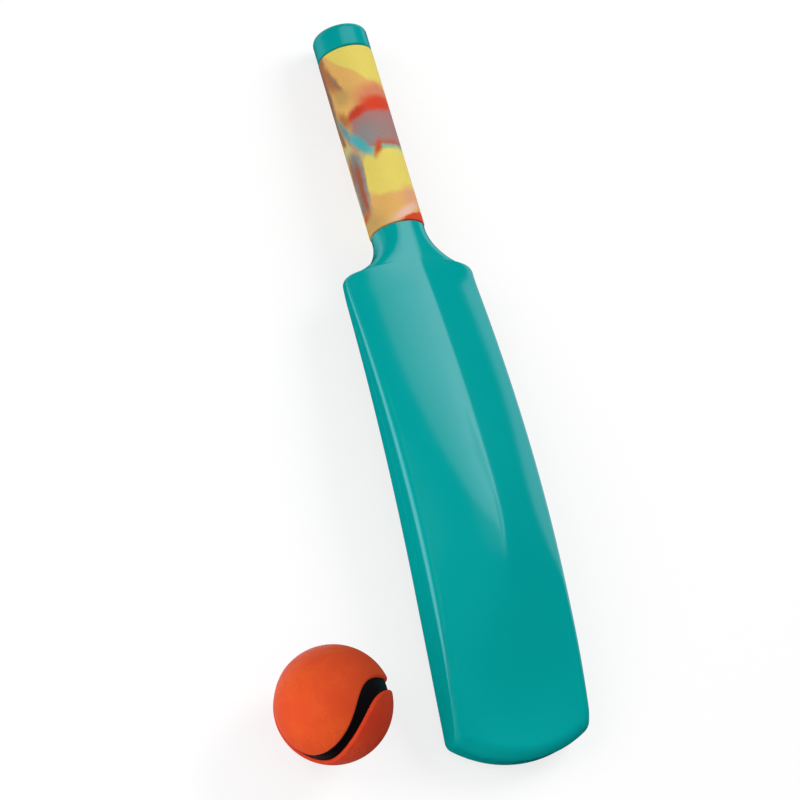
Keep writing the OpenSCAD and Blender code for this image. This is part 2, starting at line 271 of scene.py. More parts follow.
def cellFoam():
    # closed cells, pale on their tops, with painted shade that darkens the joints between them
    finish, wire = newFinish("cellFoam")
    where = wire.node("ShaderNodeTexCoord", output="Object")
    cells = wire.node("ShaderNodeTexVoronoi", {}, {"Vector": where, "Scale": foam["cells"]}, "Distance")
    closeFinish(
        wire,
        Base_Color=blendOf(wire, cells, foam["pale"], foam["shade"]),
        Roughness=foam["rough"],
        Normal=bumpOf(wire, 1 - cells, foam["cellDepth"]),
    )
    return finish


# The bat's own frame, from the shoulder line: X across, Y along the handle to its cap, Z to the spined back
bat = {
    "shoulderWidth": 75, "toeWidth": 77.5, "bladeLength": 255, "toeBulge": 12.5,
    "shoulderCorner": 4, "toeCorner": 6,
    "edgeShoulder": 8.5, "edgeSwell": 23.5, "edgeToe": 18, "swellAt": 196,
    "edgeRound": 3.4, "toeRound": 7, "innerRound": 0.6,
    "bowRadius": 976, "bowLength": 174,
    "spineShoulder": 24, "spinePeak": 41, "spineToe": 19.5, "peakAt": 150, "fallEnd": 258, "climbPower": 10,
    "crest": 2, "crestToe": 30, "crestFrom": 150, "crestTo": 249.5, "flankCrown": 0.3,
    "neckLength": 23, "neckRadius": 14.5, "neckStraight": 2, "flareRadius": 20, "flareTurn": 80,
    "blendTo": 14, "handleRise": 9, "spigotRadius": 12, "wall": 2.35, "buttGap": 0.15, "roundGap": 0.1,
    "leanFrom": 205, "leanRate": 0.6, "leanEnd": 240.5,   # sections near the toe draw in to the middle line
    "partingDepth": 0.04, "partingShare": 0.03,           # fine groove where the two halves meet
    "roundStart": 15, "collarStep": 1,                    # degrees of the neck's round in the side rows; mm
}
# points on each stretch of the outline, and rows from the parting line up to the spine
outlinePoints = {"spigot": 6, "neck": 4, "flare": 16, "shoulder": 6, "shoulderCorner": 13, "side": 91,
                 "toeCorner": 13, "toe": 17}
skinRows = {"wall": (0.2, 0.45, 0.75), "edge": 10, "flank": 37, "crowding": 1.5}
grip = {"radius": 15, "length": 108.5, "edge": 0.7, "endGap": 0.5}
handleEnd = bat["neckLength"] + grip["length"] + 2 * bat["buttGap"]
gripMiddle = bat["neckLength"] + bat["buttGap"] + grip["length"] / 2
toeTip = bat["bladeLength"] + bat["toeBulge"]
# the toe's end is one arc, joined to the sides by the corners' arcs
toeHalf = bat["toeWidth"] / 2
toeR = (toeHalf ** 2 + bat["toeBulge"] ** 2) / (2 * bat["toeBulge"])
toeS = toeTip - toeR
toeX = toeHalf - bat["toeCorner"]
toeCornerS = toeS + np.sqrt((toeR - bat["toeCorner"]) ** 2 - toeX ** 2)
gripMount = frame["record"]["mounts"][0]


def lying(points):
    # bat frame in millimetres to the lying bat in metres, by the place and axis of the grip's mount
    along = np.array(gripMount["axis"]) / np.linalg.norm(gripMount["axis"])
    across = np.array([1.0, 0.0, 0.0])
    basis = np.stack([across, along, np.cross(across, along)])
    return (points - [0, gripMiddle, 0]) @ basis * mm + gripMount["pos_m"]


def edgeThickness(s):  # sine climb from the shoulders to the swell, square-law fall towards the toe
    climb = np.sin(np.pi / 2 * np.clip(s / bat["swellAt"], 0, 1))
    fall = np.maximum(s - bat["swellAt"], 0) / (bat["bladeLength"] - bat["swellAt"])
    return (mixOf(bat["edgeShoulder"], bat["edgeSwell"], climb)
            - (bat["edgeSwell"] - bat["edgeToe"]) * fall ** 2)


def spineHeight(s):  # straight climb that eases off at its peak, cosine fall to the toe
    up = np.clip(s / bat["peakAt"], 0, 1)
    down = np.clip((s - bat["peakAt"]) / (bat["fallEnd"] - bat["peakAt"]), 0, 1)
    power = bat["climbPower"]
    climb = (up - up ** power / power) / (1 - 1 / power)
    return (mixOf(bat["spineShoulder"], bat["spinePeak"], climb)
            - (bat["spinePeak"] - bat["spineToe"]) * (1 - np.cos(np.pi * down)) / 2)


def bladeness(s):  # 0 on the round neck, 1 on the blade
    return easeOf(-bat["neckLength"], bat["blendTo"], s)


def onFace(x, s, v):
    # height v over the hitting face at station s, which runs straight, on the bow's arc, straight again
    turn = np.clip(s / bat["bowLength"], 0, 1) * bat["bowLength"] / bat["bowRadius"]
    past = np.maximum(s - bat["bowLength"], 0)
    y = -np.minimum(s, 0) - bat["bowRadius"] * np.sin(turn) - past * np.cos(turn) - v * np.sin(turn)
    z = -bat["handleRise"] - bat["bowRadius"] * (1 - np.cos(turn)) - past * np.sin(turn) + v * np.cos(turn)
    return np.stack([x, y, z], -1)


def stations(x, s, inX, inS, middle, radius):  # one row for each station, single values repeated
    return np.stack(np.broadcast_arrays(x, s, inX, inS, middle, radius), -1)


def halfOutline():
    # plan outline of the right half as rows of x, s, inward normal, station of the section's middle and
    # radius of the round neck: handle, neck, flare arc, shoulder, corner, side, toe's corner, toe's arc
    count = outlinePoints
    half, neck = bat["shoulderWidth"] / 2, bat["neckRadius"]
    flare, corner, turn = bat["flareRadius"], bat["shoulderCorner"], np.radians(bat["flareTurn"])
    spigot, end, near = bat["spigotRadius"], -bat["neckLength"], bat["collarStep"]
    flareS = end + bat["neckStraight"]
    handle = np.concatenate([
        stations(spigot, np.linspace(-handleEnd, end - near, count["spigot"]), -1, 0, np.nan, spigot),
        stations(spigot, [end], -1, 1, np.nan, spigot),
        stations(neck, [end], -1, 1, np.nan, neck),
        stations(neck, np.linspace(end + near, flareS, count["neck"])[:-1], -1, 0, np.nan, neck)])
    a = np.linspace(0, turn, count["flare"])
    flareArc = stations(neck + flare * (1 - np.cos(a)), flareS + flare * np.sin(a),
                        -np.cos(a), np.sin(a), np.nan, neck)
    line = (half - neck - (flare + corner) * (1 - np.cos(turn))) / np.sin(turn)
    step = np.linspace(0, line, count["shoulder"])[1:-1]
    shoulder = stations(flareArc[-1, 0] + step * np.sin(turn), flareArc[-1, 1] + step * np.cos(turn),
                        -np.cos(turn), np.sin(turn), np.nan, neck)
    cornerS = flareS + (flare + corner) * np.sin(turn) + line * np.cos(turn)
    a = np.linspace(turn, 0, count["shoulderCorner"])[:-1]
    shoulderArc = stations(half - corner * (1 - np.cos(a)), cornerS - corner * np.sin(a),
                           -np.cos(a), np.sin(a), np.nan, neck)
    k = np.linspace(0, 1, count["side"])[:-1]
    s = mixOf(cornerS, toeCornerS, k)
    middle = np.where(s > bat["leanFrom"], mixOf(bat["leanFrom"], s, bat["leanRate"]), np.nan)
    side = stations(mixOf(half, toeHalf, k), s, -1, 0, middle, neck)
    toeTurn = np.arctan2(toeCornerS - toeS, toeX)
    leanStart = mixOf(bat["leanFrom"], toeCornerS, bat["leanRate"])
    k = np.linspace(0, 1, count["toeCorner"])[:-1]
    a = k * toeTurn
    toeCorner = stations(toeX + bat["toeCorner"] * np.cos(a), toeCornerS + bat["toeCorner"] * np.sin(a),
                         -np.cos(a), -np.sin(a), mixOf(leanStart, bat["leanEnd"], k / 2), neck)
    k = np.linspace(0, 1, count["toe"])
    a = mixOf(toeTurn, np.pi / 2, k)
    toeArc = stations(toeR * np.cos(a), toeS + toeR * np.sin(a),
                      -np.cos(a), -np.sin(a), mixOf(leanStart, bat["leanEnd"], (1 + k) / 2), neck)
    return np.concatenate([handle, flareArc, shoulder, shoulderArc, side, toeCorner, toeArc])


def batSkin(back, inset):
    # sheet that goes round the outline and rises from the parting line to the spine, or to the middle of
    # the face: a side wall, a rounded edge, then the flank, which falls from the spine on a hyperbola with
    # the crest's radius and a little more steeply towards the edge. On the neck the same rows follow a
    # circle.
    outline = halfOutline()
    x0, s0, inX, inS, middle, radius = outline.T[:, :, None]
    wall = np.array([0, bat["partingShare"], *skinRows["wall"]])
    bend = 1 - np.cos(np.linspace(0, np.pi / 2, skinRows["edge"])[:-1])
    flankRows = np.linspace(1, 0, skinRows["flank"]) ** skinRows["crowding"]
    rise = np.concatenate([wall, np.ones(len(bend) + len(flankRows))])
    inwards = inset + (bat["partingDepth"] * (rise == 0) if inset == 0 else 0)
    edgeX, edgeS = x0 + inwards * inX, s0 + inwards * inS
    middle = np.where(np.isnan(middle), edgeS, middle)
    soft = easeOf(-bat["toeCorner"], bat["toeCorner"], s0 - toeCornerS)
    edgeR = np.maximum(mixOf(bat["edgeRound"], bat["toeRound"], soft * back) - inset, bat["innerRound"])
    reach = (-edgeX * inX + (middle - edgeS) * inS)[:, -1:]
    wallK = (1 - np.cos(np.radians(bat["roundStart"]))) * (1 - bladeness(s0))
    edgeK = edgeR / reach
    k = np.concatenate([wallK * wall ** 2, mixOf(wallK, edgeK, bend), 1 - (1 - edgeK) * flankRows], 1)
    x, s = edgeX * (1 - k), mixOf(edgeS, middle, k)
    thick = edgeThickness(s)
    crest = mixOf(bat["crest"], bat["crestToe"], easeOf(bat["crestFrom"], bat["crestTo"], s))
    half = mixOf(bat["shoulderWidth"], bat["toeWidth"], np.clip(s / bat["bladeLength"], 0, 1)) / 2
    fall = (np.hypot(x, crest) - crest) / (np.hypot(half, crest) - crest)
    flank = back * (spineHeight(s) - thick) * np.maximum(1 - mixOf(fall, fall ** 2, bat["flankCrown"]), 0)
    blade = rise * (thick / 2 + flank - inset - edgeDrop(k * reach, edgeR))
    neck = (radius - inset) * np.sqrt(1 - (1 - k) ** 2)
    height = mixOf(neck, blade, bladeness(s))
    seam = mixOf(bat["handleRise"], thick / 2, bladeness(s))
    right = onFace(x, s, seam + (height if back else -height))
    return np.concatenate([right, right[-2::-1] * [-1, 1, 1]])


def foldedIds(around, rows, first):
    # point numbers of a sheet whose two halves share their last row, the spine
    ids = first + np.arange(around * rows).reshape(around, rows)
    ids[around // 2 + 1:, -1] = ids[:around // 2, -1][::-1]
    return ids


def addShell(name, back, finish):
    # outer skin, inner skin one wall further in, and the rims that join them
    outer, inner = batSkin(back, 0), batSkin(back, bat["wall"])
    around, rows = outer.shape[:2]
    outIds, inIds = foldedIds(around, rows, 0), foldedIds(around, rows, around * rows)
    rims = [np.stack([inIds[:, 0], outIds[:, 0]], 1),
            np.stack([outIds[0], inIds[0]], 1), np.stack([inIds[-1], outIds[-1]], 1)]
    faces = np.concatenate([sheetQuads(outIds), sheetQuads(inIds)[:, ::-1], *map(sheetQuads, rims)])
    points = lying(np.concatenate([outer.reshape(-1, 3), inner.reshape(-1, 3)]))
    return addPiece(name, points, [faces[:, ::-1] if back else faces], finish, "bat")


teal = tealPlastic("tealPlastic", plastic)
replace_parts(addShell("moulded_back", 1, teal), "back_shell")
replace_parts(addShell("moulded_face", 0, teal), "face_shell")
floatCore = frame["nodes"]["float_core"]
floatCore.data.materials.clear()
floatCore.data.materials.append(cellFoam())
print("blade done")


# Turned pieces on the handle

def roundFaces(columns, rows):
    # a grid closed all the way round, whose first and last rows are single points
    ids = np.arange(columns * rows).reshape(columns, rows)
    ring = np.concatenate([ids, ids[:1]])
    firstPole, lastPole = np.full(columns, ids[0, 0]), np.full(columns, ids[0, -1])
    return [sheetQuads(ring[:, 1:-1]), np.column_stack([firstPole, ring[1:, 1], ring[:-1, 1]]),
            np.column_stack([ring[:-1, -2], ring[1:, -2], lastPole])]


def turned(profile, steps):  # radius and height of each profile point, carried round the handle's axis
    a = np.linspace(0, 2 * np.pi, steps + 1)[:-1, None]
    radius, height = profile.T
    return np.stack([radius * np.sin(a), height + 0 * a, radius * np.cos(a)], -1)


grip |= {
    "steps": 180, "rows": 60, "edgeSteps": 6, "boreSteps": 4,
    "dotPitch": 0.9, "dotTop": 0.2, "dotFoot": 0.48, "dotDepth": 0.00012,
    "gloss": 0.42, "dullGloss": 0.56, "specular": 0.15,
    "driftSize": 60.0, "drift": 2.0, "curlSize": 260.0, "curl": 1.0,   # slow and quick wander
}
dye = {
    "yellow": srgb(227, 208, 100), "orange": srgb(224, 174, 98), "tan": srgb(194, 156, 90),
    "rust": srgb(178, 112, 62), "umber": srgb(152, 110, 84), "ember": srgb(196, 84, 44),
    "red": srgb(212, 66, 34), "brick": srgb(200, 64, 32), "clay": srgb(178, 100, 84),
    "rose": srgb(214, 128, 94), "pink": srgb(222, 160, 118), "palePink": srgb(232, 186, 168),
    "mauve": srgb(156, 128, 122), "heather": srgb(168, 120, 116), "grey": srgb(142, 136, 136),
    "cyan": srgb(74, 174, 177), "slate": srgb(112, 146, 144), "mint": srgb(142, 184, 150),
    "lime": srgb(194, 194, 138), "brown": srgb(150, 110, 96), "cocoa": srgb(160, 86, 56),
}
# each pour of dye on the unrolled sleeve: mm round to the right from the back's middle, mm from the cap's
# end, half width, half length, turn in degrees, softness of its rim, and whether its outline is squarish
pours = [
    ("yellow", 10, -2, 45, 23.8, 38, 0.04, False),
    ("umber", -28, 18, 5, 24, 4, 0.4, True),
    ("rust", -20.8, 15.5, 3.2, 13, -19, 0.8, False),
    ("umber", -17.5, 19, 1.4, 9, -21, 0.9, False),
    ("tan", -16, 29, 4.5, 4, 0, 0.9, False),
    ("rose", 4, 31.5, 12, 7.5, -6, 0.6, False),
    ("heather", 4, 51, 20, 13.5, 0, 0.16, True),
    ("mauve", 0, 54, 9, 8, 20, 0.8, False),
    ("grey", -8, 54, 5.5, 6, -20, 0.8, False),
    ("brick", -9.5, 40.4, 9, 2.6, -20, 0.6, False),
    ("red", 5, 36, 11.5, 4.8, -4, 0.45, False),
    ("rust", -19.5, 41.5, 2.4, 6, -24, 0.8, False),
    ("slate", -21, 47.5, 2.2, 11, -26, 0.7, False),
    ("umber", -25.5, 49, 2.2, 8, -16, 0.6, False),
    ("lime", -24, 58, 4, 3.6, 0, 0.6, False),
    ("mint", 3, 64.8, 14, 2.2, 2, 0.6, True),
    ("yellow", 2, 77.5, 18, 12.6, 0, 0.1, True),
    ("cyan", -12.6, 58.5, 2.5, 9, -32, 0.65, False),
    ("clay", 5, 60.8, 7, 1.8, 0, 0.8, False),
    ("ember", -4, 63.6, 1.7, 5, 24, 0.7, False),
    ("brown", -22, 80, 5.2, 18, 3, 0.4, True),
    ("slate", -19, 66, 3, 5, -10, 0.8, False),
    ("cocoa", -20.3, 75, 1.7, 10, 3, 0.8, False),
    ("cocoa", -20, 89, 1.5, 8, -4, 0.8, False),
    ("grey", -16.6, 80, 1.1, 13, 0, 0.9, False),
    ("grey", -26, 84, 2.2, 9, 0, 0.7, False),
    ("brick", -24.5, 98, 5, 2, -8, 0.5, False),
    ("tan", -19, 104, 6, 6, 0, 0.9, False),
    ("pink", 9, 94, 8, 6, 0, 0.7, False),
    ("palePink", 1, 102, 10, 2.3, -25, 0.85, False),
    ("red", 9, 106, 13, 3.4, -12, 0.22, False),
    ("red", 34, 30, 13, 4, 24, 0.4, False),
    ("cyan", 40, 52, 7, 9, 30, 0.4, False),
    ("brown", 33, 74, 9, 13, -14, 0.25, True),
    ("yellow", -38, 92, 10, 13, 8, 0.2, True),
]


def marbledRubber():
    # each pour is an ellipse, or a squarer one from squared distances, on a map that wanders by noise.
    # Later pours cover earlier ones, and rows of fine raised dots lie over all.
    finish, wire = newFinish("marbledRubber")
    where = wire.node("ShaderNodeTexCoord", output="Object")
    unrolled = wire.node("ShaderNodeUVMap", {"uv_map": "sleeveMap"})

    def vector(operation, *values, output="Vector"):
        return wire.node("ShaderNodeVectorMath", {"operation": operation}, dict(enumerate(values)), output)

    flow, half = unrolled, (0.5, 0.5, 0.5)
    for size, amount in ((grip["driftSize"], grip["drift"]), (grip["curlSize"], grip["curl"])):
        swirl = vector("SUBTRACT", noiseOf(wire, where, size, detail=1.0, output="Color"), half)
        flow = vector("MULTIPLY_ADD", swirl, (2 * amount, 2 * amount, 0.0), flow)
    halfRound = math.pi * grip["radius"]
    wrapTo, wrapFrom = (halfRound, 1000.0, 1.0), (-halfRound, -1000.0, -1.0)   # only the way round wraps
    colour = dye["orange"]
    for name, around, along, width, length, turn, soft, squarish in pours:
        spot = vector("SUBTRACT", flow, (around, along, 0.0))
        spot = vector("WRAP", spot, wrapTo, wrapFrom)
        spot = wire.node("ShaderNodeMapping", {"vector_type": "TEXTURE"}, {
            "Vector": spot, "Rotation": (0.0, 0.0, math.radians(turn)), "Scale": (width, length, 1.0)})
        if squarish:
            spot = vector("MULTIPLY", spot, spot)
        power = 2 if squarish else 1
        far = vector("LENGTH", spot, output="Value")
        share = stepOf(wire, far, (1 - soft) ** power, (1 + soft) ** power, 1.0, 0.0)
        colour = blendOf(wire, share, colour, dye[name])
    dotsAround = round(2 * halfRound / grip["dotPitch"])
    dotsPerMm = (dotsAround / (2 * halfRound), 1 / grip["dotPitch"], 0.0)
    cell = vector("FRACTION", vector("MULTIPLY", unrolled, dotsPerMm))
    fromDot = vector("DISTANCE", cell, (0.5, 0.5, 0.0), output="Value")
    dot = stepOf(wire, fromDot, grip["dotTop"], grip["dotFoot"], 1.0, 0.0)
    cloud = noiseOf(wire, where, grip["curlSize"], detail=3.0)
    closeFinish(
        wire,
        Base_Color=colour,
        Roughness=mixOf(grip["gloss"], grip["dullGloss"], cloud),
        Specular_IOR_Level=grip["specular"],
        Normal=bumpOf(wire, dot, grip["dotDepth"]),
    )
    return finish


def addSleeve():
    # ring with rounded end edges; its map holds millimetres round the sleeve and from the cap's end
    inner, r = bat["spigotRadius"] + bat["roundGap"], grip["edge"]
    low = bat["neckLength"] + bat["buttGap"] + grip["endGap"]
    high = low + grip["length"] - 2 * grip["endGap"]
    outerLine = np.linspace(high - r, low + r, grip["rows"] + 1)[1:-1]
    profile = np.concatenate([
        arcOf((grip["radius"] - r, high - r), r, 90, 0, grip["edgeSteps"]),
        np.column_stack([np.full(len(outerLine), grip["radius"]), outerLine]),
        arcOf((grip["radius"] - r, low + r), r, 0, -90, grip["edgeSteps"]),
        arcOf((inner + r, low + r), r, 270, 180, grip["boreSteps"]),
        arcOf((inner + r, high - r), r, 180, 90, grip["boreSteps"])])
    columns, rows = grip["steps"], len(profile)
    i, j = np.meshgrid(np.arange(columns + 1), np.arange(rows + 1), indexing="ij")
    faces = sheetQuads((i % columns) * rows + j % rows)
    piece = addPiece("marbled_sleeve", lying(turned(profile, columns).reshape(-1, 3)), [faces[:, ::-1]],
                     marbledRubber(), "bat")
    strides = np.linalg.norm(np.diff(profile, axis=0, append=profile[:1]), axis=1)
    walked = np.concatenate([[0], np.cumsum(strides)])
    around = 2 * np.pi * grip["radius"] / columns * i
    place = np.stack([sheetQuads(around)[:, ::-1], sheetQuads(walked[j])[:, ::-1]], -1)
    piece.data.uv_layers.new(name="sleeveMap").data.foreach_set("uv", place.astype(np.float32).ravel())
    return piece


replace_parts(addSleeve(), "grip_sleeve")

cap = {"radius": 14.9, "height": 15, "edge": 3.8, "crown": 90, "lip": 1.0,
       "steps": 160, "lipSteps": 6, "edgeSteps": 14, "crownSteps": 14,
       "plugLength": 24, "beadHeight": 1.6, "bead": 0.3, "beadPlaces": (0.7, 0.3)}


def addCap():
    # crowned knob with an edge arc that meets the crown and the side, on a hollow plug with two beads
    top, low = handleEnd + cap["height"], handleEnd - cap["plugLength"]
    plug = bat["spigotRadius"] - bat["wall"] - 2 * bat["roundGap"]
    stem = plug - cap["bead"]
    bore = stem - bat["wall"]
    crownY, edgeX = top - cap["crown"], cap["radius"] - cap["edge"]
    edgeY = crownY + math.sqrt((cap["crown"] - cap["edge"]) ** 2 - edgeX ** 2)
    crownEnd = math.degrees(math.atan2(edgeY - crownY, edgeX))
    boreTop = handleEnd + cap["height"] / 2
    beads = [[(stem, y), (plug, y), (plug, y + cap["beadHeight"]), (stem, y + cap["beadHeight"])]
             for y in (handleEnd - cap["plugLength"] * share for share in cap["beadPlaces"])]
    profile = np.concatenate([
        [(0, boreTop), (bore, boreTop), (bore, low), (stem, low)], *beads,
        [(stem, handleEnd)],
        arcOf((cap["radius"] - cap["lip"], handleEnd + cap["lip"]), cap["lip"], -90, 0, cap["lipSteps"]),
        [(cap["radius"], handleEnd + 2 * cap["lip"]), (cap["radius"], edgeY - cap["lip"])],
        arcOf((edgeX, edgeY), cap["edge"], 0, crownEnd, cap["edgeSteps"]),
        arcOf((0, crownY), cap["crown"], crownEnd, 90, cap["crownSteps"])[1:]])
    profile[-1, 0] = 0
    points = turned(profile, cap["steps"]).reshape(-1, 3)
    return addPiece("turned_cap", lying(points), roundFaces(cap["steps"], len(profile)),
                    tealPlastic("capPlastic", capPlastic), "bat")


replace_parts(addCap(), "end_cap")
print("handle done")

# Ball: two covers round a dark core, parted by a groove that swings about the equator
ball = {"diameter": 60, "grooveDepth": 1.9, "grooveWidth": 5.5, "tipWidth": 9.4, "swing": 29.5, "waves": 2,
        "edge": 1.5, "coverGap": 0.25, "turn": (-153, -37.5, -101),
        "columns": 240, "insideRows": 17, "edgeRows": 13, "outsideRows": 49,
        "coreColumns": 128, "coreRows": 65}
ballR = ball["diameter"] / 2
coreR = ballR - ball["grooveDepth"]
coreBox = np.array(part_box("ball_core"))


def atBall(points):  # ball frame in millimetres to its place on the floor in metres
    turn = np.array(Euler([math.radians(a) for a in ball["turn"]]).to_matrix())
    return points @ turn.T * mm + coreBox.mean(0)


def onSphere(lon, lat, radius):  # longitude and latitude in radians to a point
    out, up = radius * np.cos(lat), radius * np.sin(lat)
    return np.stack(np.broadcast_arrays(out * np.cos(lon), out * np.sin(lon), up), -1)


def coverEdge(north):
    # longitude and latitude of a cover's edge, and how squarely a meridian meets it. The groove's middle
    # line is a two-wave sine about the equator. The edges lie square off it by half its width, which
    # swells at the tips.
    t = np.linspace(0, 2 * np.pi, ball["columns"] + 1)[:-1]
    swing, waves = math.radians(ball["swing"]), ball["waves"]
    lat = swing * np.sin(waves * t)
    slope = waves * swing * np.cos(waves * t) / np.cos(lat)
    east = np.stack([-np.sin(t), np.cos(t), 0 * t], -1)
    up = np.stack([-np.sin(lat) * np.cos(t), -np.sin(lat) * np.sin(t), np.cos(lat)], -1)
    square = 1 / np.sqrt(1 + slope ** 2)
    across = (up - slope[:, None] * east) * square[:, None]
    width = mixOf(ball["grooveWidth"], ball["tipWidth"], np.sin(waves * t) ** 2)
    shift = (width / 2 / ballR * (1 if north else -1))[:, None]
    edge = onSphere(t, lat, 1) * np.cos(shift) + across * np.sin(shift)
    return np.arctan2(edge[:, 1], edge[:, 0]), np.arcsin(edge[:, 2]), square


def addCover(name, north, finish):
    # each meridian runs from the pole along the inside to the edge, over its rounding, and back outside
    lon, lat, square = (a[:, None] for a in coverEdge(north))
    pole = np.pi / 2 if north else -np.pi / 2
    bend = np.linspace(0, np.pi / 2, ball["edgeRows"])
    rounding = ball["edge"] * (1 - np.cos(bend)) / (ballR * square) * np.sign(pole)
    inside = mixOf(pole, lat, np.linspace(0, 1, ball["insideRows"]))
    outside = mixOf(lat + rounding[:, -1:], pole, np.linspace(0, 1, ball["outsideRows"])[1:])
    sheets = [onSphere(lon, inside, coreR + ball["coverGap"]),
              onSphere(lon, lat + rounding, ballR - ball["edge"] * (1 - np.sin(bend))),
              onSphere(lon, outside, ballR)]
    points = np.concatenate(sheets, 1)
    faces = roundFaces(*points.shape[:2])
    return addPiece(name, atBall(points.reshape(-1, 3)), [f if north else f[:, ::-1] for f in faces],
                    finish, "ball")


def addCore(name, finish):  # sphere under the covers, on a grid of longitude and latitude
    lon = np.linspace(0, 2 * np.pi, ball["coreColumns"] + 1)[:-1, None]
    lat = np.linspace(-np.pi / 2, np.pi / 2, ball["coreRows"])
    points = onSphere(lon, lat, coreR)
    return addPiece(name, atBall(points.reshape(-1, 3)), roundFaces(*points.shape[:2]), finish,
                    "ball")


southCover = addCover("south_cover", False, orangeRubber("orangeRubber", cover))
# the north cover is coloured with painted shade, redder than the south one
northCover = addCover("north_cover", True, orangeRubber("shadeRedRubber", shadeRedCover))
roundCore = addCore("round_core", blackRubber())
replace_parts(southCover, "ball_cover_a")
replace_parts(northCover, "ball_cover_b")
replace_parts(roundCore, "ball_core")
print("ball done")

# Stage: white floor with a raised rim, soft lamps, camera
stage = {
    "floorReach": 10.0, "flatReach": 0.5, "rimRise": 0.75, "rimRows": 25, "floorColumns": 96,
    "floorSeen": (0.26, 0.26, 0.26, 1.0), "floorBounce": (0.65, 0.65, 0.65, 1.0),
    "floorGlow": 0.725, "ambient": 0.455,
    # light strips that reflections see on the floor, to the left and right of the blade's middle
    "mirrorMiddle": 0.049, "mirrorFrom": 0.055, "mirrorTo": 0.09, "mirrorColour": (0.78, 1.0, 1.2, 1.0),
    "mirrorLeft": 2.2, "leftFront": (-0.25, -0.1), "mirrorRight": 0.65, "rightFront": (-0.17, -0.125),
    # by the handle the left strip comes nearer and fades towards it
    "handleFrom": (0.074, 0.09), "handleNearer": 0.045, "handleFade": (-0.13, -0.03),
    "handleShare": (0.1, 0.5),
}
softbox = {"distance": 1.5, "shine": 2.3, "colour": (0.92, 0.98, 1.12), "ringGap": 0.005}
# glows of the softbox: direction, degrees out to its rim and to its full middle, rings, the rim's share of
# it, and its strength
glows = [
    ((0.19, 0.477, 0.858), 31.0, 16.0, 6, 0.38, 1.0),
    ((0.024, 0.194, 0.981), 20.5, 13.5, 5, 0.2, 0.22),
    ((0.169, 0.005, 0.986), 15.0, 9.5, 5, 0.2, 0.22),
]
# level is the light that a lamp gives a surface facing it, 1 for full white
lamps = [
    {"name": "topFill", "direction": (0.19, 0.477, 0.858), "distance": 1.5, "size": 1.69, "level": 0.27},
    {"name": "leftFill", "direction": (-0.75, 0.2, 0.63), "distance": 2.0, "size": 1.2, "level": 0.37},
    {"name": "rightFill", "direction": (0.7, 0.4, 0.6), "distance": 2.0, "size": 1.2, "level": 0.28},
    {"name": "batFill", "direction": (0.7, 0.4, 0.6), "distance": 2.0, "size": 1.2, "level": 0.41,
     "spares": [southCover, northCover, roundCore]},
    {"name": "nearFill", "direction": (-0.78, -0.55, 0.3), "distance": 0.6, "size": 0.4, "level": 0.36,
     "shows": "fill"},
]
# camera in millimetres and degrees
view = {"aim": (37.013, -1.723, 0.0), "distance": 2194.4, "azimuth": -52.915, "elevation": 56.93,
        "roll": 43.04, "lens": 188.08, "sensor": 36.0}


def addFloor():
    # floor that keeps the shadow, flat in the middle, its rim rising by a square law. A glow that only
    # the camera sees lifts it to white. A reflection sees it dark, with a light strip on each side of the
    # blade.
    flat = stage["flatReach"]
    reach = np.concatenate([[0], np.linspace(flat, stage["floorReach"], stage["rimRows"])])
    a = np.linspace(0, 2 * np.pi, stage["floorColumns"] + 1)[:-1, None]
    rise = stage["rimRise"] * (np.maximum(reach - flat, 0) / stage["floorReach"]) ** 2
    points = np.stack(np.broadcast_arrays(reach * np.cos(a), reach * np.sin(a), rise), -1).reshape(-1, 3)
    ids = np.arange(len(points)).reshape(len(a), -1)
    ring = np.concatenate([ids, ids[:1]])
    middle = np.column_stack([np.zeros(len(a), int), ring[:-1, 1], ring[1:, 1]])
    mesh = bpy.data.meshes.new("floor")
    mesh.from_pydata(points.tolist(), [], middle.tolist() + sheetQuads(ring[:, :0:-1]).tolist())
    mesh.shade_smooth()
    finish, wire = newFinish("paleFloor")
    rays = wire.node("ShaderNodeLightPath")
    seen, mirrored = (Wire(wire.tree, rays.socket.node.outputs[name])
                      for name in ("Is Camera Ray", "Is Glossy Ray"))
    where = wire.node("ShaderNodeTexCoord", output="Object")
    side = wire.node("ShaderNodeSeparateXYZ", {}, {0: where}, "X") - stage["mirrorMiddle"]
    front = wire.node("ShaderNodeSeparateXYZ", {}, {0: where}, "Y")
    byHandle = stepOf(wire, front, *stage["handleFrom"])
    fade = stepOf(wire, side, *stage["handleFade"], *stage["handleShare"])
    nearer = side - byHandle * stage["handleNearer"]
    left = (stepOf(wire, nearer, -stage["mirrorTo"], -stage["mirrorFrom"], stage["mirrorLeft"], 0.0)
            * stepOf(wire, front, *stage["leftFront"]) * (1 - byHandle * (1 - fade)))
    right = (stepOf(wire, side, stage["mirrorFrom"], stage["mirrorTo"], 0.0, stage["mirrorRight"])
             * stepOf(wire, front, *stage["rightFront"]))
    matt = wire.node("ShaderNodeBsdfDiffuse", {}, {
        "Color": blendOf(wire, seen, stage["floorBounce"], stage["floorSeen"])})
    glow = wire.node("ShaderNodeEmission", {}, {"Strength": seen * stage["floorGlow"]})
    both = wire.node("ShaderNodeAddShader", {}, {0: matt, 1: glow})
    mirror = wire.node("ShaderNodeEmission", {}, {"Color": stage["mirrorColour"], "Strength": left + right})
    shown = wire.node("ShaderNodeMixShader", {}, {0: mirrored, 1: both, 2: mirror})
    wire.node("ShaderNodeOutputMaterial", {}, {"Surface": shown})
    mesh.materials.append(finish)
    floor = bpy.data.objects.new("floor", mesh)
    bpy.context.scene.collection.objects.link(floor)


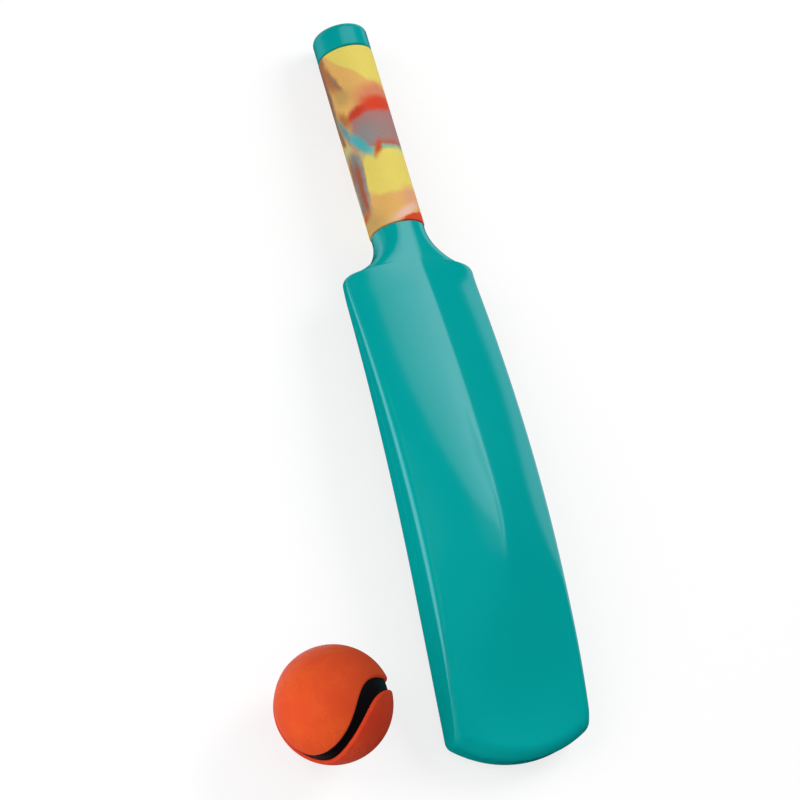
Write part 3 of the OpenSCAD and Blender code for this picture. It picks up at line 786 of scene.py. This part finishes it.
def addLamp(name, direction, distance, size, level, colour=(1.0, 1.0, 1.0), shows="diffuse", spares=()):
    # round lamp that faces the middle of the set, its watts its level times the square of pi times its
    # distance. It shows in diffuse or in glossy light alone, and a fill is a diffuse one without shadows.
    # It leaves the pieces in spares unlit.
    data = bpy.data.lights.new(name, "AREA")
    data.shape, data.size = "DISK", size
    data.energy, data.color = level * (math.pi * distance) ** 2, colour
    lamp = bpy.data.objects.new(name, data)
    away = Vector(direction).normalized()
    lamp.location = away * distance
    lamp.rotation_euler = away.to_track_quat("Z", "Y").to_euler()
    lamp.visible_glossy, lamp.visible_diffuse = shows == "glossy", shows != "glossy"
    data.use_shadow = shows != "fill"
    bpy.context.scene.collection.objects.link(lamp)
    if spares:
        lit = bpy.data.collections.new(name + "Lit")
        for piece in bpy.context.scene.objects:
            if piece.type == "MESH" and piece not in spares:
                lit.objects.link(piece)
        lamp.light_linking.receiver_collection = lit


def addSoftbox():
    # each glow is a stack of coaxial discs, each smaller one a little nearer, that add up to a lamp which
    # fades from its middle to its rim
    distance = softbox["distance"]
    for number, (direction, rim, middle, rings, rimShare, strength) in enumerate(glows):
        angles = np.radians(np.linspace(rim, middle, rings))
        shares = [rimShare] + [(1 - rimShare) / (rings - 1)] * (rings - 1)
        for ring, (angle, share) in enumerate(zip(angles, shares)):
            slope = math.tan(angle)
            addLamp("softbox%d_%d" % (number, ring), direction, distance, 2 * distance * slope,
                    share * strength * softbox["shine"] * slope ** 2, softbox["colour"], "glossy")
            distance -= softbox["ringGap"]


def addCamera():
    # stands off the aim point by azimuth and elevation, then rolls about its own line of sight
    a, e, roll = (math.radians(view[key]) for key in ("azimuth", "elevation", "roll"))
    back = Vector((math.sin(a) * math.cos(e), -math.cos(a) * math.cos(e), math.sin(e)))
    level = Vector((math.cos(a), math.sin(a), 0))
    rise = back.cross(level)
    right = level * math.cos(roll) + rise * math.sin(roll)
    up = rise * math.cos(roll) - level * math.sin(roll)
    data = bpy.data.cameras.new("camera")
    data.lens, data.sensor_width = view["lens"], view["sensor"]
    camera = bpy.data.objects.new("camera", data)
    place = (Vector(view["aim"]) + back * view["distance"]) * mm
    camera.matrix_world = Matrix.Translation(place) @ Matrix((right, up, back)).transposed().to_4x4()
    bpy.context.scene.collection.objects.link(camera)
    bpy.context.scene.camera = camera


def addWorld():
    # white to the camera, even fill light on the set, dark in reflections
    world = bpy.data.worlds.new("studio")
    world.use_nodes = True
    world.node_tree.nodes.clear()
    sky = Wire(world.node_tree)
    rays = sky.node("ShaderNodeLightPath").socket.node.outputs
    seen, mirrored = Wire(sky.tree, rays["Is Camera Ray"]), Wire(sky.tree, rays["Is Glossy Ray"])
    level = seen + (1 - seen) * (1 - mirrored) * stage["ambient"]
    light = sky.node("ShaderNodeBackground", {}, {"Color": (1.0, 1.0, 1.0, 1.0), "Strength": level})
    sky.node("ShaderNodeOutputWorld", {}, {"Surface": light})
    bpy.context.scene.world = world


addFloor()
addSoftbox()
for lamp in lamps:
    addLamp(**lamp)
addCamera()
addWorld()
bpy.context.scene.view_settings.view_transform = "Standard"
print("stage done")
